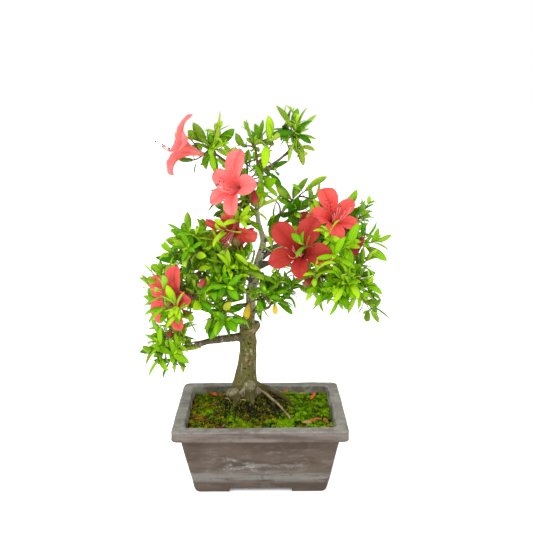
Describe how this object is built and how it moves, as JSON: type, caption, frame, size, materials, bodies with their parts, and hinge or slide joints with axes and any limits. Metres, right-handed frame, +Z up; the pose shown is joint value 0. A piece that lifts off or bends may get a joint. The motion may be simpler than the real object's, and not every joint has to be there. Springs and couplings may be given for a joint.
{
  "type": "flowering azalea bonsai in a pot",
  "caption": "Flowering azalea bonsai with a crooked trunk, open leafy crown and large funnel blossoms, growing from moss in a rectangular clay pot.",
  "frame": {"origin": "centre of the pot's footprint on the surface it stands on", "axes": "+Z up along the plant, -Y toward the front that shows the trunk and the open blossoms, +X toward the right of that front"},
  "size_m": [0.293, 0.2, 0.4435],
  "materials": {
    "unglazed_clay": "unglazed grey-brown stoneware, matt, with pale mineral bloom",
    "moss": "bright green cushion moss over dark moist soil",
    "bark": "olive-grey bark, mottled, with small dark lenticels",
    "dry_root": "dry tan root skin",
    "azalea_foliage": "glossy narrow green leaves with salmon and coral blossoms"
  },
  "bodies": {
    "root": {"aerial_root": "dry_root", "bough_apex": "bark", "bough_left_back": "bark", "bough_left_front": "bark", "bough_left_inner": "bark", "bough_left_middle": "bark", "bough_left_upper": "bark", "bough_low_left": "bark", "bough_lower_right": "bark", "bough_middle": "bark", "bough_right_back": "bark", "bough_right_front": "bark", "bough_right_upper": "bark", "bough_top_back": "bark", "bough_top_left": "bark", "foliage_apex": "azalea_foliage", "foliage_centre": "azalea_foliage", "foliage_centre_low": "azalea_foliage", "foliage_left_back": "azalea_foliage", "foliage_left_inner": "azalea_foliage", "foliage_left_low": "azalea_foliage", "foliage_left_middle": "azalea_foliage", "foliage_left_upper": "azalea_foliage", "foliage_low_left": "azalea_foliage", "foliage_middle": "azalea_foliage", "foliage_right_back": "azalea_foliage", "foliage_right_low": "azalea_foliage", "foliage_right_upper": "azalea_foliage", "foliage_top_back": "azalea_foliage", "foliage_top_left": "azalea_foliage", "foliage_top_middle": "azalea_foliage", "moss_bed": "moss", "pot": "unglazed_clay", "surface_root": "dry_root", "trunk": "bark"}
  },
  "joints": []
}
